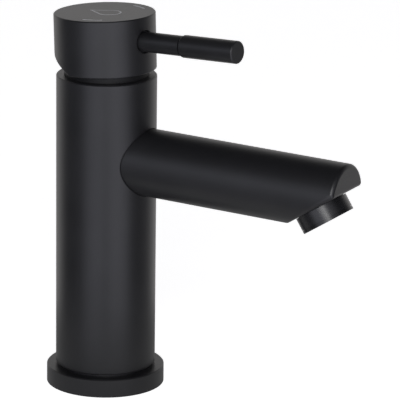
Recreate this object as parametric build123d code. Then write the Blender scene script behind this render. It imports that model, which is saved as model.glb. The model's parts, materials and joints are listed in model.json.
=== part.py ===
from build123d import *
import math
import os

# Single-lever basin mixer tap with a pin lever, one STEP file for each piece.
# Millimetres. The origin is on the column's axis at the deck surface, +Z is up, and the spout points along -Y.
# Handle pieces are modelled closed and straight ahead, then turned and lifted to where the handle rests.

# between the two halves of a thread or a press fit
thread_gap = 0.05
# how far a cutting shape runs past what it cuts
past = 1.0
# a cutter this long on every side cuts everything beyond its face
cutter_size = 200.0

# column
column_radius = 22.5
column_bottom = 9.25
column_top = 143.2
edge_break = 0.4
spigot_radius = 21.2
spigot_bottom = 1.0
cavity_radius = 18.8
cavity_top = 90.0
chamber_floor = 110.0
chamber_radius = 17.4
thread_radius = 18.0
thread_bottom = 130.4

# base flange
flange_radius = 26.6
flange_height = 8.2
flange_bore = 21.4
flange_lip_bore = 19.2
gasket_outer = 25.0
gasket_inner = 22.6
gasket_depth = 1.6

# water ways inside the column
inlet_half_spacing = 8.5
inlet_y = 3.0
inlet_tower_radius = 6.7
inlet_tower_bottom = 16.0
inlet_thread_radius = 4.5
inlet_thread_length = 12.0
inlet_bore_radius = 3.2
stud_y = -10.5
stud_boss_radius = 6.0
stud_boss_bottom = 12.0
stud_thread_depth = 14.0
outlet_radius = 4.0
outlet_y = -9.0

# spout, with lengths measured from the column's axis along the spout
spout_radius = 15.2
spout_height = 106.0
spout_droop = 1.38
spout_length = 120.35
spout_bore = 12.4
spout_bore_past_cut = 1.1
spout_root = 5.0
spout_seat_radius = 20.8
seat_edge_round = 0.35
seat_gap = 0.04
nose_height = 3.15
cut_start = 93.4
nose_round = 1.7
cut_round = 1.9

# threaded nipple that holds the spout on the column
nipple_radius = 7.0
nipple_bore = 4.5
nipple_drop = 4.5
nipple_inner_end = 15.5
nipple_collar_radius = 7.8
nipple_collar_thickness = 2.5
spout_wall_end = 26.5
spout_seal_thickness = 1.6

# aerator, with heights measured outwards from the underside cut
aerator_radius = 12.12
aerator_drop = 7.53
aerator_offset = 15.15
aerator_seam = 6.0
aerator_seam_depth = 0.6
aerator_seam_touch = 0.02
aerator_gap = 0.12
aerator_thread_radius = 11.0
aerator_thread_depth = 6.5
aerator_washer_thickness = 1.6
aerator_bore = 9.6
aerator_throat = 7.6
aerator_throat_depth = 15.5
insert_bore = 8.0
filter_rim = 1.1
filter_wall = 0.6
filter_rise = 3.6
filter_tip = 2.0
screen_radius = 9.2
screen_thickness = 1.2
screen_recess = 0.7
screen_pitch = 2.4
screen_hole = 1.8
screen_border = 0.5

# cartridge and what holds it
running_gap = 0.3
port_ring_inner_gap = 0.3
port_ring_width = 1.6
port_ring_height = 1.6
cartridge_radius = 17.1
cartridge_bore = 15.6
cartridge_bottom = 110.6
cartridge_floor = 114.6
disc_bottom = 115.0
disc_thickness = 3.0
disc_gap = 0.05
fixed_disc_radius = 15.2
moving_disc_radius = 11.8
moving_disc_recess = 6.8
carrier_top = 125.6
carrier_flat = 10.5
socket_floor = 0.15
rail_gap = 0.25
rail_width = 2.8
rail_length = 11.0
turret_bottom = 126.2
turret_flange_radius = 14.5
turret_flange_top = 128.4
turret_radius = 10.4
turret_top = 141.0
turret_rail_bottom = 122.0
turret_slot_width = 8.4
turret_slot_length = 12.4
cartridge_top = 130.6
nut_radius = 17.95
nut_bore = 12.6
nut_thread_top = 143.0
nut_collar_radius = 16.2
nut_top = 147.0
bonnet_radius = 19.0
bonnet_round = 4.0
bonnet_top = 149.5
bonnet_mouth = 13.4
bonnet_bottom = 143.3

# stem and its pivot
pivot_height = 133.4
pivot_pin_radius = 1.75
pivot_pin_half = 10.0
pivot_clearance = 0.05
stem_lean = 12.0
stem_width = 8.0
stem_up = 25.6
stem_socket_width = 8.1
stem_socket_start = 5.0
stem_socket_end = 25.8
finger_width = 5.4
finger_neck = 1.76
finger_overlap = 3.0
ball_radius = 2.2
stem_arm = 9.8

# handle
cap_radius = 22.7
cap_bottom = 145.8
cap_top = 171.25
cap_wall = 2.6
cap_roof = 4.0
cap_cut_angle = 26.3
cap_cut_start = 2.6
boss_radius = 8.0
boss_y = -3.5
boss_bottom = 152.0
lever_height = 159.8
lever_pitch = 1.13
lever_length = 73.1
lever_neck_radius = 4.5
lever_grip_radius = 5.03
lever_seat = 21.35
lever_seat_radius = 5.15
lever_seat_round = 0.35
lever_boss_radius = 7.0
lever_thread_radius = 3.0
lever_thread_length = 6.0
lever_core_radius = 3.4
lever_core_end = 60.0
lever_core_gap = 0.5
neck_end = 43.5
grip_start = 43.85
grip_start_round = 0.9
grip_end_break = 0.35
grub_screw_length = 5.0
grub_screw_gap = 0.2
hex_key_half = 1.5
hex_key_depth = 2.0

# where the handle rests
rest_turn = -8.24
rest_lift = 2.16

# fixing kit under a deck of this thickness
deck_thickness = 22.0
stud_radius = 4.0
stud_bottom = -46.0
shoe_radius = 24.0
shoe_hole_radius = 4.3
shoe_gasket_thickness = 3.0
shoe_plate_thickness = 2.5
shoe_slot_width = 30.0
shoe_slot_front = -4.5
shoe_slot_corner = 9.0
nut_across_flats = 13.0
clamp_nut_height = 9.0

# inlaid marks on the cap
inlay_depth = 0.25
mark_radius = 18.3
mark_width = 1.1
mark_span = 25.0
mark_centre = 69.0
drop_radius = 5.4
drop_tip = 11.2
drop_line = 0.85


def rod(radius, low, high, x=0.0, y=0.0):
    """A cylinder along Z between two heights."""
    return Pos(x, y, low) * Cylinder(radius, high - low, align=(Align.CENTER, Align.CENTER, Align.MIN))


def tube(outer, inner, low, high, x=0.0, y=0.0):
    """A ring along Z between two heights."""
    return rod(outer, low, high, x, y) - rod(inner, low - past, high + past, x, y)


def block(x_size, y_size, low, high):
    """A box centred in plan between two heights."""
    return Pos(0, 0, low) * Box(x_size, y_size, high - low, align=(Align.CENTER, Align.CENTER, Align.MIN))


def ring_edges(shape, radius, height):
    """The circular edges of one radius at one height."""
    found = []
    for edge in shape.edges().filter_by(GeomType.CIRCLE):
        if abs(edge.radius - radius) < 1e-3 and abs(edge.arc_center.Z - height) < 1e-3:
            found.append(edge)
    return found


def flat_face(shape, frame):
    """The plane face that looks along a frame's local +Z."""
    outward = frame.z_axis.direction
    for face in shape.faces().filter_by(GeomType.PLANE):
        if face.normal_at().dot(outward) > 0.9999:
            return face
    raise ValueError("no face looks that way")


def frame_at(origin, x_dir, z_dir):
    return Plane(origin=origin, x_dir=x_dir, z_dir=z_dir).location


def spout_frame():
    """Local +Z runs out along the spout's axis from the column's axis, local +Y is up."""
    down = math.radians(spout_droop)
    return frame_at((0, 0, spout_height), (1, 0, 0), (0, -math.cos(down), -math.sin(down)))


def nipple_frame():
    return spout_frame() * Pos(0, -nipple_drop, 0)


def cut_frame():
    """The underside cut at the nose: local +Z points out of it, local +X runs back along it from the nose."""
    rise = spout_radius + nose_height
    run = spout_length - cut_start
    size = math.hypot(rise, run)
    along = (0, -rise / size, -run / size)
    outward = (0, -run / size, rise / size)
    return spout_frame() * frame_at((0, nose_height, spout_length), along, outward)


def aerator_frame():
    return cut_frame() * Pos(aerator_offset, 0, 0)


def lever_frame():
    """Local +Z runs out along the lever from the cap's axis, in the closed handle."""
    up = math.radians(lever_pitch)
    return frame_at((0, 0, lever_height), (1, 0, 0), (0, -math.cos(up), math.sin(up)))


def stem_frame():
    """Local +Z runs up the stem from its pivot, in the closed handle."""
    lean = math.radians(stem_lean)
    return frame_at((0, 0, pivot_height), (1, 0, 0), (0, -math.sin(lean), math.cos(lean)))


def turned(shape):
    """Turn a cartridge piece with the handle."""
    return Rot(0, 0, rest_turn) * shape


def lifted(shape):
    """Lift and turn a handle piece to where it rests."""
    return Rot(0, 0, rest_turn) * Pos(0, 0, pivot_height) * Rot(-rest_lift, 0, 0) * Pos(0, 0, -pivot_height) * shape


def disc_offset():
    """How far back of the axis the stem's ball holds the moving disc at rest."""
    return stem_arm * math.sin(math.radians(stem_lean - rest_lift))


# --- column and base ---


def inlet_places():
    return [(-inlet_half_spacing, inlet_y), (inlet_half_spacing, inlet_y)]


def make_column_body():
    body = rod(column_radius, column_bottom, column_top)
    body = chamfer(ring_edges(body, column_radius, column_top), edge_break)
    body = chamfer(ring_edges(body, column_radius, column_bottom), edge_break)
    body -= spout_socket()
    body = fillet(rim_round(body, column_radius, spout_frame(), spout_radius + past), seat_edge_round)
    body += rod(spigot_radius, spigot_bottom, column_bottom)
    body -= rod(cavity_radius, spigot_bottom - past, cavity_top)
    for x, y in inlet_places():
        body += rod(inlet_tower_radius, inlet_tower_bottom, cavity_top, x, y)
    body += rod(stud_boss_radius, stud_boss_bottom, cavity_top, 0, stud_y)
    body -= rod(chamber_radius, chamber_floor, column_top + past)
    body -= rod(thread_radius, thread_bottom, column_top + past)
    for x, y in inlet_places():
        body -= rod(inlet_thread_radius, inlet_tower_bottom - past, inlet_tower_bottom + inlet_thread_length, x, y)
        body -= rod(inlet_bore_radius, inlet_tower_bottom, chamber_floor + past, x, y)
    body -= rod(stud_radius, stud_boss_bottom - past, stud_boss_bottom + stud_thread_depth, 0, stud_y)
    body -= rod(outlet_radius, spout_height - nipple_drop, chamber_floor + past, 0, outlet_y)
    body -= nipple_frame() * rod(outlet_radius, -outlet_y - outlet_radius, column_radius)
    body -= nipple_frame() * rod(nipple_radius, nipple_inner_end, column_radius + past)
    return body


def spout_socket():
    """The saddle-shaped pocket that the spout's root sits in."""
    pocket = spout_frame() * rod(spout_radius + seat_gap, spout_root, column_radius + past)
    return pocket - rod(spout_seat_radius, cavity_top - past, column_top)


def rim_round(shape, outside_radius, frame, reach):
    """The edges where a pocket along a frame's local +Z breaks a round outside."""
    rim = []
    for edge in shape.edges():
        middle = edge.position_at(0.5)
        local = (frame.inverse() * Pos(middle.X, middle.Y, middle.Z)).position
        on_outside = abs(math.hypot(middle.X, middle.Y) - outside_radius) < 1e-3
        if on_outside and local.Z > 0 and math.hypot(local.X, local.Y) < reach:
            rim.append(edge)
    return rim


def make_base_flange():
    ring = rod(flange_radius, 0, flange_height)
    ring = chamfer(ring_edges(ring, flange_radius, flange_height), edge_break)
    ring -= rod(flange_bore, spigot_bottom, flange_height + past)
    ring -= rod(flange_lip_bore, -1, spigot_bottom + past)
    return ring - tube(gasket_outer, gasket_inner, -1, gasket_depth)


def make_base_gasket():
    return tube(gasket_outer, gasket_inner, 0, gasket_depth)


# --- spout and aerator ---


def make_spout():
    frame = spout_frame()
    body = frame * rod(spout_radius, spout_root, spout_length)
    body -= rod(spout_seat_radius + seat_gap, cavity_top - past, column_top)
    body -= cut_frame() * block(cutter_size, cutter_size, 0, cutter_size)
    body = fillet(flat_face(body, frame).edges().filter_by(GeomType.CIRCLE), nose_round)
    body = fillet(flat_face(body, cut_frame()).edges(), cut_round)
    body -= frame * rod(spout_bore, spout_wall_end, cut_start + spout_bore_past_cut)
    body -= nipple_frame() * rod(nipple_radius, spout_root, spout_wall_end + past)
    body -= aerator_frame() * rod(aerator_thread_radius, -aerator_thread_depth, past)
    return body - aerator_frame() * rod(aerator_throat, -aerator_throat_depth, 0)


def make_spout_nipple():
    collar_low = spout_wall_end + spout_seal_thickness
    stem = tube(nipple_radius, nipple_bore, nipple_inner_end, collar_low)
    collar = tube(nipple_collar_radius, nipple_bore, collar_low, collar_low + nipple_collar_thickness)
    return nipple_frame() * (stem + collar)


def make_spout_seal():
    ring = tube(nipple_collar_radius, nipple_radius, spout_wall_end, spout_wall_end + spout_seal_thickness)
    return nipple_frame() * ring


def make_aerator_housing():
    skirt = tube(aerator_radius, aerator_bore, aerator_gap, aerator_seam)
    thread = tube(aerator_thread_radius - thread_gap, aerator_bore, -washer_face(), aerator_gap)
    return aerator_frame() * (skirt + thread)


def washer_face():
    return aerator_thread_depth - aerator_washer_thickness


def make_aerator_washer():
    ring = tube(aerator_thread_radius - thread_gap, aerator_throat, -aerator_thread_depth, -washer_face())
    return aerator_frame() * ring


def make_aerator_insert():
    shelf = aerator_drop - screen_recess - screen_thickness
    seam_top = aerator_seam + aerator_gap
    rim = rod(aerator_radius, seam_top, aerator_drop)
    rim += rod(aerator_radius - aerator_seam_depth, aerator_seam + aerator_seam_touch, seam_top)
    sleeve = rod(aerator_bore - thread_gap, -washer_face() + filter_rim, aerator_drop)
    insert = rim + sleeve - rod(insert_bore, -washer_face(), aerator_drop + past)
    return aerator_frame() * (insert - rod(screen_radius, shelf, aerator_drop + past))


def make_aerator_screen():
    top = aerator_drop - screen_recess
    plate = rod(screen_radius - thread_gap, top - screen_thickness, top)
    reach = int(screen_radius / screen_pitch) + 1
    for column in range(-reach, reach + 1):
        for row in range(-reach, reach + 1):
            x = column * screen_pitch
            y = row * screen_pitch
            if math.hypot(abs(x) + screen_hole / 2, abs(y) + screen_hole / 2) < screen_radius - screen_border:
                plate -= Pos(x, y, 0) * block(screen_hole, screen_hole, top - screen_thickness - past, top + past)
    return aerator_frame() * plate


def make_aerator_filter():
    """A shallow cone with a flat rim over the aerator's inlet."""
    low = -washer_face()
    mouth = aerator_throat - filter_wall
    rim = tube(aerator_bore - thread_gap, mouth - filter_wall, low, low + filter_rim)
    outer = Cone(mouth, filter_tip, filter_rise, align=(Align.CENTER, Align.CENTER, Align.MIN))
    inner = Cone(mouth - filter_wall, filter_tip / 2, filter_rise - filter_wall,
                 align=(Align.CENTER, Align.CENTER, Align.MIN))
    cone = Pos(0, 0, low + filter_rim) * Rot(180, 0, 0) * (outer - inner)
    return aerator_frame() * (rim + cone)


# --- cartridge ---


def port_places():
    ports = []
    for x, y in inlet_places():
        ports.append((x, y, inlet_bore_radius))
    ports.append((0, outlet_y, outlet_radius))
    return ports


def make_cartridge_base():
    base = rod(cartridge_radius, cartridge_bottom, cartridge_floor)
    base += rod(cartridge_bore - thread_gap, cartridge_floor, disc_bottom)
    for x, y, radius in port_places():
        inner = radius + port_ring_inner_gap
        base -= rod(radius, cartridge_bottom - past, disc_bottom + past, x, y)
        base -= tube(inner + port_ring_width, inner, cartridge_bottom - past, chamber_floor + port_ring_height, x, y)
    return base


def make_port_seals():
    rings = []
    for x, y, radius in port_places():
        inner = radius + port_ring_inner_gap
        rings.append(tube(inner + port_ring_width, inner, chamber_floor, chamber_floor + port_ring_height, x, y))
    return Compound(children=rings)


def make_cartridge_housing():
    shell = tube(cartridge_radius, cartridge_bore, cartridge_floor, cartridge_top)
    roof = tube(cartridge_radius, turret_radius + running_gap, turret_flange_top + running_gap, cartridge_top)
    return shell + roof


def make_fixed_disc():
    disc = rod(fixed_disc_radius, disc_bottom, disc_bottom + disc_thickness)
    for x, y, radius in port_places():
        disc -= rod(radius, disc_bottom - past, disc_bottom + disc_thickness + past, x, y)
    return disc


def moving_disc_bottom():
    return disc_bottom + disc_thickness + disc_gap


def make_moving_disc():
    low = moving_disc_bottom()
    disc = rod(moving_disc_radius, low, low + disc_thickness)
    disc -= rod(moving_disc_recess, low - past, low + disc_thickness / 2, 0, -disc_thickness / 2)
    return turned(Pos(0, disc_offset(), 0) * disc)


def make_disc_carrier():
    low = moving_disc_bottom() + disc_thickness
    carrier = rod(moving_disc_radius, low, carrier_top)
    carrier &= block(2 * carrier_flat, 4 * moving_disc_radius, low, carrier_top)
    socket = 2 * (ball_radius + running_gap)
    carrier -= block(socket, socket, low + socket_floor, carrier_top + past)
    return turned(Pos(0, disc_offset(), 0) * carrier)


def make_turret():
    turret = rod(turret_flange_radius, turret_bottom, turret_flange_top)
    turret += rod(turret_radius, turret_bottom, turret_top)
    for side in (-1, 1):
        rail_x = side * (carrier_flat + rail_gap + rail_width / 2)
        turret += Pos(rail_x, 0, 0) * block(rail_width, rail_length, turret_rail_bottom, turret_bottom)
    turret -= block(turret_slot_width, turret_slot_length, turret_bottom - past, turret_top + past)
    turret -= pivot_rod(pivot_pin_radius + thread_gap / 2, turret_radius)
    return turned(turret)


def pivot_rod(radius, half_length):
    return Pos(-half_length, 0, pivot_height) * Rot(0, 90, 0) * rod(radius, 0, 2 * half_length)


def make_pivot_pin():
    return turned(pivot_rod(pivot_pin_radius, pivot_pin_half))


def make_cartridge_nut():
    nut = rod(nut_radius, cartridge_top + thread_gap, nut_thread_top)
    nut += rod(nut_collar_radius, nut_thread_top, nut_top)
    return nut - rod(nut_bore, cartridge_top, nut_top + past)


def make_bonnet_ring():
    dome = rod(bonnet_radius, bonnet_bottom, bonnet_top)
    dome = fillet(ring_edges(dome, bonnet_radius, bonnet_top), bonnet_round)
    dome -= rod(nut_collar_radius + thread_gap, bonnet_bottom - past, nut_top + running_gap)
    return dome - rod(bonnet_mouth, bonnet_bottom, bonnet_top + past)


# --- handle ---


def make_cartridge_stem():
    shank = block(stem_width, stem_width, -stem_width / 2, stem_up)
    finger_length = stem_arm - finger_overlap
    finger = Cone(finger_neck, finger_width / 2, finger_length, align=(Align.CENTER, Align.CENTER, Align.MIN))
    stem = shank + Pos(0, 0, -stem_arm) * finger + Pos(0, 0, -stem_arm) * Sphere(ball_radius)
    stem -= Rot(0, 90, 0) * rod(pivot_pin_radius + pivot_clearance, -stem_width, stem_width)
    return lifted(stem_frame() * stem)


def make_handle_cap():
    cap = rod(cap_radius, cap_bottom, cap_top)
    cap -= Pos(0, cap_cut_start, cap_bottom) * Rot(cap_cut_angle, 0, 0) * back_cutter()
    cap = fillet(lower_edges(cap), edge_break)
    cap -= lever_frame() * rod(lever_seat_radius, lever_seat, cap_radius + past)
    cap = fillet(rim_round(cap, cap_radius, lever_frame(), lever_seat_radius + past), lever_seat_round)
    cap = chamfer(ring_edges(cap, cap_radius, cap_top), edge_break)
    cap -= rod(cap_radius - cap_wall, cap_bottom - past, cap_top - cap_roof)
    cap += rod(boss_radius, boss_bottom, cap_top - cap_roof, 0, boss_y)
    cap += lever_frame() * rod(lever_boss_radius, -boss_y, cap_radius - cap_wall / 2)
    cap -= stem_frame() * block(stem_socket_width, stem_socket_width, stem_socket_start, stem_socket_end)
    cap -= lever_frame() * rod(lever_thread_radius, -boss_y, cap_radius + past)
    cap -= lever_frame() * rod(lever_seat_radius, lever_seat, cap_radius - cap_wall / 2)
    for mark in temperature_marks():
        cap -= mark
    return lifted(cap - drop_outline())


def back_cutter():
    return Box(cutter_size, cutter_size, cutter_size, align=(Align.CENTER, Align.MIN, Align.MAX))


def lower_edges(cap):
    """The outside edges of the cap's bottom and of the slope behind it."""
    found = []
    for face in cap.faces().filter_by(GeomType.PLANE):
        if face.normal_at().Z < -0.5:
            found.extend(face.edges())
    return found


def make_lever_rod():
    neck = rod(lever_neck_radius, lever_seat + thread_gap, neck_end)
    shank = rod(lever_thread_radius, lever_seat - lever_thread_length, lever_seat + thread_gap)
    core = rod(lever_core_radius, neck_end, lever_core_end)
    return lifted(lever_frame() * (neck + shank + core))


def make_lever_grip():
    grip = rod(lever_grip_radius, grip_start, lever_length)
    grip = fillet(ring_edges(grip, lever_grip_radius, grip_start), grip_start_round)
    grip = chamfer(ring_edges(grip, lever_grip_radius, lever_length), grip_end_break)
    grip -= rod(lever_core_radius + thread_gap, grip_start - past, lever_core_end + lever_core_gap)
    return lifted(lever_frame() * grip)


def make_grub_screw():
    tail = lever_seat - lever_thread_length - grub_screw_gap
    screw = rod(lever_thread_radius, tail - grub_screw_length, tail)
    hexagon = RegularPolygon(hex_key_half, 6, major_radius=False)
    key = extrude(Pos(0, 0, tail - hex_key_depth) * hexagon, hex_key_depth + past)
    return lifted(lever_frame() * (screw - key))


def temperature_marks():
    marks = []
    for side in (-1, 1):
        start = side * mark_centre - mark_span / 2 - 90
        line = CenterArc((0, 0), mark_radius, start, mark_span)
        band = offset(line, mark_width / 2, side=Side.BOTH)
        marks.append(Pos(0, 0, cap_top - inlay_depth) * extrude(make_face(band.edges()), inlay_depth))
    return marks


def make_temperature_marks():
    return Compound(children=[lifted(mark) for mark in temperature_marks()])


def drop_shape(radius, tip):
    """A water drop in plan: a round belly whose tangents meet at a tip."""
    half = math.degrees(math.acos(radius / tip))
    belly = CenterArc((0, 0), radius, 90 + half, 360 - 2 * half)
    left = Line(belly @ 0, (0, tip))
    right = Line((0, tip), belly @ 1)
    return make_face([belly, left, right])


def drop_outline():
    low = cap_top - inlay_depth
    outer = extrude(drop_shape(drop_radius, drop_tip), inlay_depth)
    inner = extrude(drop_shape(drop_radius - drop_line, drop_tip - 2 * drop_line), inlay_depth)
    return Pos(0, -(drop_tip - drop_radius) / 2, low) * (outer - inner)


def make_drop_emblem():
    return lifted(drop_outline())


# --- fixing kit ---


def make_mounting_stud():
    stud = rod(stud_radius, stud_bottom, stud_boss_bottom + stud_thread_depth, 0, stud_y)
    return chamfer(ring_edges(stud, stud_radius, stud_bottom), edge_break * 2)


def horseshoe(low, high):
    disc = rod(shoe_radius, low, high)
    slot_length = 2 * shoe_radius
    slot = RectangleRounded(shoe_slot_width, slot_length, shoe_slot_corner)
    opening = Pos(0, shoe_slot_front + slot_length / 2, low - 1) * extrude(slot, high - low + 2)
    return disc - opening - rod(shoe_hole_radius, low - past, high + past, 0, stud_y)


def make_horseshoe_gasket():
    return horseshoe(-deck_thickness - shoe_gasket_thickness, -deck_thickness)


def shoe_plate_bottom():
    return -deck_thickness - shoe_gasket_thickness - shoe_plate_thickness


def make_horseshoe_plate():
    return horseshoe(shoe_plate_bottom(), shoe_plate_bottom() + shoe_plate_thickness)


def make_clamp_nut():
    low = shoe_plate_bottom() - clamp_nut_height
    hexagon = RegularPolygon(nut_across_flats / 2, 6, major_radius=False)
    nut = Pos(0, stud_y, low) * extrude(hexagon, clamp_nut_height)
    return nut - rod(stud_radius, low - past, low + clamp_nut_height + past, 0, stud_y)


makers = {
    "column_body": make_column_body,
    "base_flange": make_base_flange,
    "base_gasket": make_base_gasket,
    "spout": make_spout,
    "spout_nipple": make_spout_nipple,
    "spout_seal": make_spout_seal,
    "aerator_housing": make_aerator_housing,
    "aerator_washer": make_aerator_washer,
    "aerator_filter": make_aerator_filter,
    "aerator_insert": make_aerator_insert,
    "aerator_screen": make_aerator_screen,
    "bonnet_ring": make_bonnet_ring,
    "cartridge_nut": make_cartridge_nut,
    "cartridge_housing": make_cartridge_housing,
    "cartridge_base": make_cartridge_base,
    "port_seals": make_port_seals,
    "fixed_disc": make_fixed_disc,
    "moving_disc": make_moving_disc,
    "disc_carrier": make_disc_carrier,
    "turret": make_turret,
    "pivot_pin": make_pivot_pin,
    "cartridge_stem": make_cartridge_stem,
    "handle_cap": make_handle_cap,
    "lever_rod": make_lever_rod,
    "lever_grip": make_lever_grip,
    "grub_screw": make_grub_screw,
    "temperature_marks": make_temperature_marks,
    "drop_emblem": make_drop_emblem,
    "mounting_stud": make_mounting_stud,
    "horseshoe_gasket": make_horseshoe_gasket,
    "horseshoe_plate": make_horseshoe_plate,
    "clamp_nut": make_clamp_nut,
}

os.makedirs("parts", exist_ok=True)
for name, maker in makers.items():
    print(name)
    export_step(maker(), f"parts/{name}.step")
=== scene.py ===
import bpy
import json
import math
from mathutils import Matrix, Vector


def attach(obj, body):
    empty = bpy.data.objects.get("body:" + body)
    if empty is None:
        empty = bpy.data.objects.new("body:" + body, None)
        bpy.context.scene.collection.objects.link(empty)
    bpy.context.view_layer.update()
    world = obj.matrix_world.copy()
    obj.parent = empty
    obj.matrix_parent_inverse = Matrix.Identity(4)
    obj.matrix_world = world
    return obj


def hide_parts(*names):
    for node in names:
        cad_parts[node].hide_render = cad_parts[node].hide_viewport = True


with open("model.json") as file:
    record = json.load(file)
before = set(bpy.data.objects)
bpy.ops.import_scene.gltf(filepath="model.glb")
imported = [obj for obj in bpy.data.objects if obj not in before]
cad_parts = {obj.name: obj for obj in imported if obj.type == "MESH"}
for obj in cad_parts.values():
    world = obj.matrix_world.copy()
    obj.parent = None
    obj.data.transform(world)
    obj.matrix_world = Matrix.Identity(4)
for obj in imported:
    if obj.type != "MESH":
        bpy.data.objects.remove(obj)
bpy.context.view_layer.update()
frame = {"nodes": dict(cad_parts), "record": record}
nodes = frame["nodes"]
mm = 0.001
white = (1.0, 1.0, 1.0, 1.0)
black = (0.0, 0.0, 0.0, 1.0)
print("frame loaded:", len(nodes), "nodes")


cameraSetup = {
    "place": (-1.26851, -0.73571, 0.50474),  # metres: about 1.5 m off, front right, a little above the tap
    "azimuth": -61.537,  # degrees round Z from where the spout points
    "elevation": 15.968,
    "roll": 0.723,
    "lens": 305.08,
    "sensor": 36.0,
    "clip": (0.05, 20.0),  # metres
}


def addCamera(setup):
    azimuth = math.radians(setup["azimuth"])
    elevation = math.radians(setup["elevation"])
    back = Vector((math.sin(azimuth) * math.cos(elevation), -math.cos(azimuth) * math.cos(elevation),
                   math.sin(elevation)))
    right = Vector((math.cos(azimuth), math.sin(azimuth), 0.0))
    up = back.cross(right)
    turn = Matrix.Rotation(math.radians(setup["roll"]), 3, back)
    columns = Matrix((turn @ right, turn @ up, back)).transposed()
    lensData = bpy.data.cameras.new("camera")
    lensData.lens = setup["lens"]
    lensData.sensor_width = setup["sensor"]
    lensData.clip_start, lensData.clip_end = setup["clip"]
    camera = bpy.data.objects.new("camera", lensData)
    camera.matrix_world = Matrix.Translation(setup["place"]) @ columns.to_4x4()
    bpy.context.collection.objects.link(camera)
    bpy.context.scene.camera = camera


addCamera(cameraSetup)
print("camera set")


def toLinear(hexColour, alpha=1.0):
    channels = []
    for start in (1, 3, 5):
        value = int(hexColour[start:start + 2], 16) / 255
        channels.append(value / 12.92 if value <= 0.04045 else ((value + 0.055) / 1.055) ** 2.4)
    return (*channels, alpha)


def addNode(tree, kind, settings=None, inputs=None, links=None):
    node = tree.nodes.new(kind)
    for name, value in (settings or {}).items():
        setattr(node, name, value)
    for name, value in (inputs or {}).items():
        node.inputs[name].default_value = value
    for name, source in (links or {}).items():
        tree.links.new(source, node.inputs[name])
    return node


def newMaterial(name, shaderInputs):
    material = bpy.data.materials.new(name)
    material.use_nodes = True
    tree = material.node_tree
    tree.nodes.clear()
    output = addNode(tree, "ShaderNodeOutputMaterial")
    shader = addNode(tree, "ShaderNodeBsdfPrincipled", inputs=shaderInputs)
    tree.links.new(shader.outputs["BSDF"], output.inputs["Surface"])
    return material, tree, shader


# The colour wanders between two shades with the cloud, and the roughness between two values with the grain.
def addVariation(tree, shader, look, cloud, grain):
    spread = {"From Min": look["spread"][0], "From Max": look["spread"][1]}
    shade = addNode(tree, "ShaderNodeMapRange", inputs=spread, links={"Value": cloud})
    colour = addNode(tree, "ShaderNodeMix", {"data_type": "RGBA"},
                     {6: toLinear(look["dark"]), 7: toLinear(look["light"])}, {0: shade.outputs["Result"]})
    tree.links.new(colour.outputs[2], shader.inputs["Base Color"])
    low, high = look["roughness"]
    rough = addNode(tree, "ShaderNodeMapRange", inputs={**spread, "To Min": low, "To Max": high},
                    links={"Value": grain})
    tree.links.new(rough.outputs["Result"], shader.inputs["Roughness"])


# Matt black powder coat on turned brass: a satin, very slightly blue black whose fine orange peel
# breaks the light into soft bands, with the coat thinner and a shade lighter in places.
powderCoat = {
    "dark": "#151517",
    "light": "#1a1a1c",
    "roughness": (0.36, 0.44),
    "spread": (0.3, 0.7),  # the part of the noise that is used
    "grainSize": 0.35,     # mm, the coat's fine texture
    "peelSize": 1.6,       # mm, its slow waves
    "patchSize": 22.0,     # mm, where the coat varies in thickness
    "grainDetail": 2.0,
    "peelDetail": 1.0,
    "patchDetail": 3.0,
    "grainHeight": 0.006,
    "peelHeight": 0.004,
    "ior": 1.5,
    "specular": 0.5,
}


def makeCoat(name, look):
    material, tree, shader = newMaterial(name, {"IOR": look["ior"], "Specular IOR Level": look["specular"]})
    place = addNode(tree, "ShaderNodeTexCoord").outputs["Object"]
    noise = {}
    for layer in ("grain", "peel", "patch"):
        size, detail = look[layer + "Size"] * mm, look[layer + "Detail"]
        noise[layer] = addNode(tree, "ShaderNodeTexNoise", inputs={"Scale": 1 / size, "Detail": detail},
                               links={"Vector": place}).outputs["Fac"]
    addVariation(tree, shader, look, noise["patch"], noise["grain"])
    waves = addNode(tree, "ShaderNodeBump", inputs={"Strength": 1.0, "Distance": look["peelHeight"] * mm},
                    links={"Height": noise["peel"]})
    bump = addNode(tree, "ShaderNodeBump", inputs={"Strength": 1.0, "Distance": look["grainHeight"] * mm},
                   links={"Height": noise["grain"], "Normal": waves.outputs["Normal"]})
    tree.links.new(bump.outputs["Normal"], shader.inputs["Normal"])
    return material


powderCoatBlack = makeCoat("powderCoatedBrassBlack", powderCoat)

# The aerator's ring: the same black over a finely turned brass ring, smoother, so its highlights are tighter.
aeratorCoat = dict(powderCoat, roughness=(0.26, 0.29), grainSize=0.8, grainHeight=0.0004, peelHeight=0.0)
aeratorCoatBlack = makeCoat("smoothBlackCoatedBrass", aeratorCoat)

# The bonnet ring is moulded black plastic, duller than the coat. Its colour is made darker than the coat as
# painted shade:
# it stands in for the shadow in the gap under the cap, so that gap stays deep.
bonnetShadedLook = dict(powderCoat, dark="#0e0e0f", light="#121213", roughness=(0.5, 0.58), grainSize=0.6,
                     grainHeight=0.004, peelHeight=0.002, specular=0.3)
bonnetShadedBlack = makeCoat("bonnetBlackPaintedShade", bonnetShadedLook)

# Laser-etched and filled marks: a dull light grey with a fine speckle.
etchedFill = dict(powderCoat, dark="#c4c5c8", light="#dedfe2", roughness=(0.5, 0.6), grainSize=0.25,
                  grainHeight=0.004, peelHeight=0.0)
etchedGrey = makeCoat("laserEtchedGreyFill", etchedFill)

# Nitrile rubber, compression moulded: nearly black and dull, with a dry, slightly cloudy skin.
nitrileLook = dict(powderCoat, dark="#141414", light="#1c1c1d", roughness=(0.62, 0.74), grainSize=0.5,
                   grainHeight=0.008, peelHeight=0.006, ior=1.52, specular=0.35)
nitrileRubber = makeCoat("mouldedNitrileRubber", nitrileLook)

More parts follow.
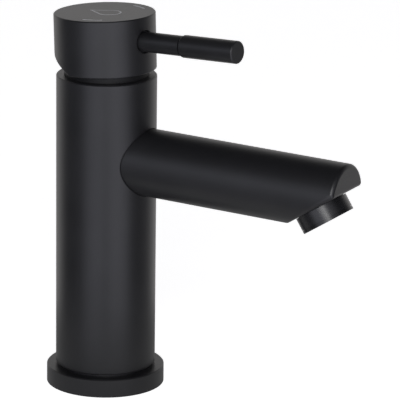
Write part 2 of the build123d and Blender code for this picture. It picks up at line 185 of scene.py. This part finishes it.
# Acetal, injection moulded: waxy white or black with a soft sheen and a faint flow texture.
whiteAcetalLook = dict(powderCoat, dark="#d9d8d0", light="#e6e5df", roughness=(0.34, 0.42), grainSize=0.8,
                       patchSize=9.0, grainHeight=0.003, peelHeight=0.003, ior=1.48)
whiteAcetal = makeCoat("mouldedWhiteAcetal", whiteAcetalLook)
blackAcetalLook = dict(powderCoat, dark="#121213", light="#18181a", roughness=(0.24, 0.3), grainSize=0.8,
                       grainHeight=0.0008, peelHeight=0.001, ior=1.48)
blackAcetal = makeCoat("mouldedBlackAcetal", blackAcetalLook)

# Glass-filled polyamide, injection moulded: mid grey, with the filler showing as fine pale flecks.
polyamideLook = dict(powderCoat, dark="#7b7d7f", light="#8d8f91", roughness=(0.42, 0.55), grainSize=0.3,
                     patchSize=4.0, grainHeight=0.005, peelHeight=0.003, ior=1.53)
greyPolyamide = makeCoat("mouldedGlassFilledPolyamide", polyamideLook)

# Alumina ceramic, fired and lapped: warm white, dense and very smooth, with barely visible grain.
aluminaLook = dict(powderCoat, dark="#e3dfd2", light="#efece2", roughness=(0.12, 0.2), grainSize=0.3,
                   patchSize=6.0, grainHeight=0.0006, peelHeight=0.0, ior=1.76)
lappedAlumina = makeCoat("lappedAluminaCeramic", aluminaLook)


# Metal turned on a lathe: fine tool marks in rings, over a slightly uneven colour.
turnedMetal = {
    "spread": (0.35, 0.65),
    "markWander": 0.4,  # how far the rings stray from straight
    "markDetail": 1.0,
    "stainDetail": 3.0,
}


def makeTurned(name, look):
    material, tree, shader = newMaterial(name, {"Metallic": 1.0})
    place = addNode(tree, "ShaderNodeTexCoord").outputs["Object"]
    # a wave texture's bands repeat every pi / (10 * scale) metres
    rings = addNode(tree, "ShaderNodeTexWave", {"wave_type": "BANDS", "bands_direction": "Z"},
                    {"Scale": math.pi / (10 * look["toolMark"] * mm), "Distortion": look["markWander"],
                     "Detail": look["markDetail"]}, {"Vector": place})
    stain = addNode(tree, "ShaderNodeTexNoise",
                    inputs={"Scale": 1 / (look["stainSize"] * mm), "Detail": look["stainDetail"]},
                    links={"Vector": place})
    addVariation(tree, shader, look, stain.outputs["Fac"], stain.outputs["Fac"])
    bump = addNode(tree, "ShaderNodeBump", inputs={"Strength": 1.0, "Distance": look["markDepth"] * mm},
                   links={"Height": rings.outputs["Fac"]})
    tree.links.new(bump.outputs["Normal"], shader.inputs["Normal"])
    return material


# Raw turned brass: warm yellow, half bright, with the cutter's rings.
brassLook = dict(turnedMetal, dark="#a9833c", light="#c9a35c", roughness=(0.24, 0.38), toolMark=0.25,
                 markDepth=0.004, stainSize=5.0)
rawBrass = makeTurned("turnedBrass", brassLook)

# Bright zinc plate on steel: cool blue white, clouded by the passivation.
zincLook = dict(turnedMetal, dark="#a3a8ad", light="#bfc4c9", roughness=(0.22, 0.4), toolMark=0.35,
                markDepth=0.003, stainSize=2.5)
zincPlate = makeTurned("zincPlatedSteel", zincLook)

# Drawn stainless steel: neutral and even.
steelLook = dict(turnedMetal, dark="#b6b7b8", light="#c8c9ca", roughness=(0.2, 0.3), toolMark=0.3,
                 markDepth=0.003, stainSize=3.0)
stainless = makeTurned("drawnStainlessSteel", steelLook)

finishes = {
    "matte_black_coat": powderCoatBlack,
    "black_aerator_coat": aeratorCoatBlack,
    "black_acetal": blackAcetal,
    "white_acetal": whiteAcetal,
    "grey_polymer": greyPolyamide,
    "alumina_ceramic": lappedAlumina,
    "nitrile_rubber": nitrileRubber,
    "raw_brass": rawBrass,
    "zinc_plated_steel": zincPlate,
    "stainless_mesh": stainless,
    "grey_print": etchedGrey,
}
# pieces that differ from their slot
# the bonnet ring takes the darker black, whose extra darkness is painted shade for the gap under the cap
nodeFinish = {"bonnet_ring": bonnetShadedBlack}


def dress():
    slotOf = {}
    for part in frame["record"]["subparts"]:
        slotOf[part["node"]] = part["material_slot"]
    for name, node in nodes.items():
        finish = finishes.get(slotOf[name], powderCoatBlack)
        for slot in node.material_slots:
            slot.material = nodeFinish.get(name, finish)


dress()
print("materials made")


# The stud under the deck, threaded from end to end.
stud = {
    "y": -10.5,  # mm
    "bottom": -46.0,
    "top": 26.0,
    "radius": 3.98,
    "pitch": 1.25,
    "depth": 0.68,
    "spareTurns": 2,  # wound past each end, then cut off
    "steps": 40,
    "sharp": 25,      # degrees
    "weld": 0.0005,
}


def makeStud(setup):
    pitch, depth = setup["pitch"] * mm, setup["depth"] * mm
    bottom, top = setup["bottom"] * mm, setup["top"] * mm
    spare = setup["spareTurns"]
    turns = math.ceil((top - bottom) / pitch) + 2 * spare
    weld = setup["weld"] * mm
    bpy.ops.object.select_all(action="DESELECT")
    bpy.ops.mesh.primitive_plane_add(size=pitch, location=(0, 0, 0))
    piece = bpy.context.active_object
    piece.name = "threadedStud"
    bpy.ops.object.mode_set(mode="EDIT")
    bpy.ops.mesh.select_all(action="SELECT")
    bpy.ops.mesh.merge(type="CENTER")
    bpy.ops.transform.translate(value=(setup["radius"] * mm, 0, bottom - spare * pitch))
    for turn in range(turns):
        for across in (-depth, depth):
            bpy.ops.mesh.extrude_region_move(TRANSFORM_OT_translate={"value": (across, 0, pitch / 2)})
    bpy.ops.object.mode_set(mode="OBJECT")
    winding = piece.modifiers.new("winding", "SCREW")
    winding.steps = setup["steps"]
    winding.render_steps = setup["steps"]
    winding.screw_offset = pitch
    bpy.ops.object.modifier_apply(modifier=winding.name)
    bpy.ops.object.mode_set(mode="EDIT")
    bpy.ops.mesh.select_all(action="SELECT")
    bpy.ops.mesh.remove_doubles(threshold=weld)
    bpy.ops.mesh.bisect(plane_co=(0, 0, bottom), plane_no=(0, 0, 1), use_fill=True, clear_inner=True,
                        threshold=weld)
    bpy.ops.mesh.select_all(action="SELECT")
    bpy.ops.mesh.bisect(plane_co=(0, 0, top), plane_no=(0, 0, 1), use_fill=True, clear_outer=True,
                        threshold=weld)
    bpy.ops.mesh.select_all(action="SELECT")
    bpy.ops.mesh.normals_make_consistent(inside=False)
    bpy.ops.mesh.faces_shade_smooth()
    bpy.ops.mesh.select_all(action="DESELECT")
    bpy.ops.mesh.edges_select_sharp(sharpness=math.radians(setup["sharp"]))
    bpy.ops.mesh.mark_sharp()
    bpy.ops.mesh.select_all(action="SELECT")
    bpy.ops.transform.translate(value=(0, setup["y"] * mm, 0))
    bpy.ops.object.mode_set(mode="OBJECT")
    piece.data.materials.append(zincPlate)
    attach(piece, "root")
    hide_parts("mounting_stud")


makeStud(stud)
print("stud threaded")


studio = {
    "floorHalf": 3.0,        # metres
    "floorHeight": -0.00005,
    "floorColour": "#f4f4f4",
    "floorRoughness": 0.7,
    "floorGlow": 0.80,       # the floor's own share of white, so that its shadows stay soft
    "toCamera": -151.5,      # degrees round Z from +X to where the camera stands
    "ambient": (0.02, 0.02, 0.022),
    "lensWhite": 1.0,        # what the camera sees behind the tap
}

# Soft white screens round the tap, as it sees them: headings in degrees to the right of the camera,
# heights in degrees above the floor's horizon.
screens = {
    "behind": {"heading": 183, "half": 61, "soft": 16, "low": -60, "high": 31, "fade": 14,
               "light": (0.765, 0.75, 0.745)},
    "frontLeft": {"heading": -27, "half": 17, "soft": 11, "low": -46, "high": 26, "fade": 18,
                  "light": (0.98, 0.99, 1.12)},
    "frontRight": {"heading": 32, "half": 19, "soft": 10, "low": -60, "high": 26, "fade": 18,
                   "light": (1.18, 1.18, 1.32)},
    "betweenFronts": {"heading": 2, "half": 16, "soft": 12, "low": -60, "high": 26, "fade": 18,
                      "light": (0.30, 0.31, 0.36)},
    "leftFill": {"heading": -64, "half": 24, "soft": 14, "low": 2, "high": 27, "fade": 13,
                 "light": (0.58, 0.61, 0.70)},
    "rightFill": {"heading": 104, "half": 10, "soft": 10, "low": -60, "high": 20, "fade": 14,
                  "light": (0.16, 0.16, 0.17)},
    "below": {"heading": 0, "half": 179, "soft": 1, "low": -120, "high": -56, "fade": 12,
              "light": (0.25, 0.24, 0.265)},
}


def addFloor(setup):
    bpy.ops.object.select_all(action="DESELECT")
    bpy.ops.mesh.primitive_plane_add(size=2 * setup["floorHalf"], location=(0, 0, setup["floorHeight"]))
    floor = bpy.context.active_object
    floor.name = "studioFloor"
    material = newMaterial("paleStudioFloor", {
        "Base Color": toLinear(setup["floorColour"]), "Roughness": setup["floorRoughness"],
        "Emission Color": white, "Emission Strength": setup["floorGlow"]})[0]
    floor.data.materials.append(material)
    floor.visible_glossy = False


# The pale surface close round the foot, seen only in the coat: it evens out the light low on the column.
footGlow = {
    "radius": 0.12,     # metres
    "height": -0.0001,
    "corners": 64,
    "glow": 0.34,
}


def addFootGlow(setup):
    bpy.ops.object.select_all(action="DESELECT")
    bpy.ops.mesh.primitive_circle_add(vertices=setup["corners"], radius=setup["radius"], fill_type="NGON",
                                      location=(0, 0, setup["height"]))
    disc = bpy.context.active_object
    disc.name = "footGlow"
    material = newMaterial("paleFootGlow", {
        "Base Color": black, "Specular IOR Level": 0.0, "Emission Color": white,
        "Emission Strength": setup["glow"]})[0]
    disc.data.materials.append(material)
    disc.visible_camera = False
    disc.visible_diffuse = False
    disc.visible_shadow = False


def screenLight(tree, flat, height, setup, toCamera):
    heading = math.radians(toCamera + setup["heading"])
    towards = (math.cos(heading), math.sin(heading), 0.0)
    along = addNode(tree, "ShaderNodeVectorMath", {"operation": "DOT_PRODUCT"}, {1: towards}, {0: flat})
    outer = math.cos(math.radians(min(180, setup["half"] + setup["soft"])))
    inner = math.cos(math.radians(max(0, setup["half"] - setup["soft"])))
    side = addNode(tree, "ShaderNodeMapRange", {"interpolation_type": "SMOOTHSTEP"},
                   {"From Min": outer, "From Max": inner}, {"Value": along.outputs["Value"]})
    fade = setup["fade"]
    bottom = addNode(tree, "ShaderNodeMapRange", {"interpolation_type": "SMOOTHSTEP"},
                     {"From Min": setup["low"] - fade, "From Max": setup["low"] + fade}, {"Value": height})
    top = addNode(tree, "ShaderNodeMapRange", {"interpolation_type": "SMOOTHSTEP"},
                  {"From Min": setup["high"] + fade, "From Max": setup["high"] - fade}, {"Value": height})
    band = addNode(tree, "ShaderNodeMath", {"operation": "MULTIPLY"},
                   links={0: bottom.outputs["Result"], 1: top.outputs["Result"]})
    amount = addNode(tree, "ShaderNodeMath", {"operation": "MULTIPLY"},
                     links={0: side.outputs["Result"], 1: band.outputs["Value"]})
    glow = addNode(tree, "ShaderNodeVectorMath", {"operation": "SCALE"}, {0: setup["light"]},
                   {"Scale": amount.outputs["Value"]})
    return glow.outputs["Vector"]


def addWorld(setup, panels):
    world = bpy.data.worlds.new("studio")
    bpy.context.scene.world = world
    world.use_nodes = True
    tree = world.node_tree
    tree.nodes.clear()
    output = addNode(tree, "ShaderNodeOutputWorld")
    direction = addNode(tree, "ShaderNodeTexCoord").outputs["Generated"]
    parts = addNode(tree, "ShaderNodeSeparateXYZ", links={0: direction})
    level = addNode(tree, "ShaderNodeCombineXYZ", links={"X": parts.outputs["X"], "Y": parts.outputs["Y"]})
    flat = addNode(tree, "ShaderNodeVectorMath", {"operation": "NORMALIZE"},
                   links={0: level.outputs["Vector"]})
    arc = addNode(tree, "ShaderNodeMath", {"operation": "ARCSINE"}, links={0: parts.outputs["Z"]})
    height = addNode(tree, "ShaderNodeMath", {"operation": "MULTIPLY"}, {1: 180 / math.pi},
                     {0: arc.outputs["Value"]})
    total = None
    for name, panel in panels.items():
        glow = screenLight(tree, flat.outputs["Vector"], height.outputs["Value"], panel, setup["toCamera"])
        if total is None:
            total = addNode(tree, "ShaderNodeVectorMath", {"operation": "ADD"}, {1: setup["ambient"]},
                            {0: glow})
        else:
            total = addNode(tree, "ShaderNodeVectorMath", {"operation": "ADD"},
                            links={0: total.outputs["Vector"], 1: glow})
    lit = addNode(tree, "ShaderNodeBackground", links={"Color": total.outputs["Vector"]})
    plain = addNode(tree, "ShaderNodeBackground", inputs={"Color": white, "Strength": setup["lensWhite"]})
    seen = addNode(tree, "ShaderNodeLightPath").outputs["Is Camera Ray"]
    both = addNode(tree, "ShaderNodeMixShader", links={"Fac": seen, 1: lit.outputs["Background"],
                                                       2: plain.outputs["Background"]})
    tree.links.new(both.outputs["Shader"], output.inputs["Surface"])


lights = {
    "front": {"place": (-0.62, -0.36, 0.42), "aim": (0, 0, 0.11), "size": (0.35, 0.35), "power": 2.6},
}


def addLight(name, setup):
    data = bpy.data.lights.new(name, "AREA")
    data.shape = "RECTANGLE"
    data.size, data.size_y = setup["size"]
    data.energy = setup["power"]
    light = bpy.data.objects.new(name, data)
    aim = Vector(setup["aim"]) - Vector(setup["place"])
    turn = aim.to_track_quat("-Z", "Y").to_matrix().to_4x4()
    light.matrix_world = Matrix.Translation(setup["place"]) @ turn
    bpy.context.collection.objects.link(light)


addFloor(studio)
addFootGlow(footGlow)
addWorld(studio, screens)
for lightName, lightSetup in lights.items():
    addLight(lightName, lightSetup)
bpy.context.scene.view_settings.view_transform = "Standard"
print("studio lit")
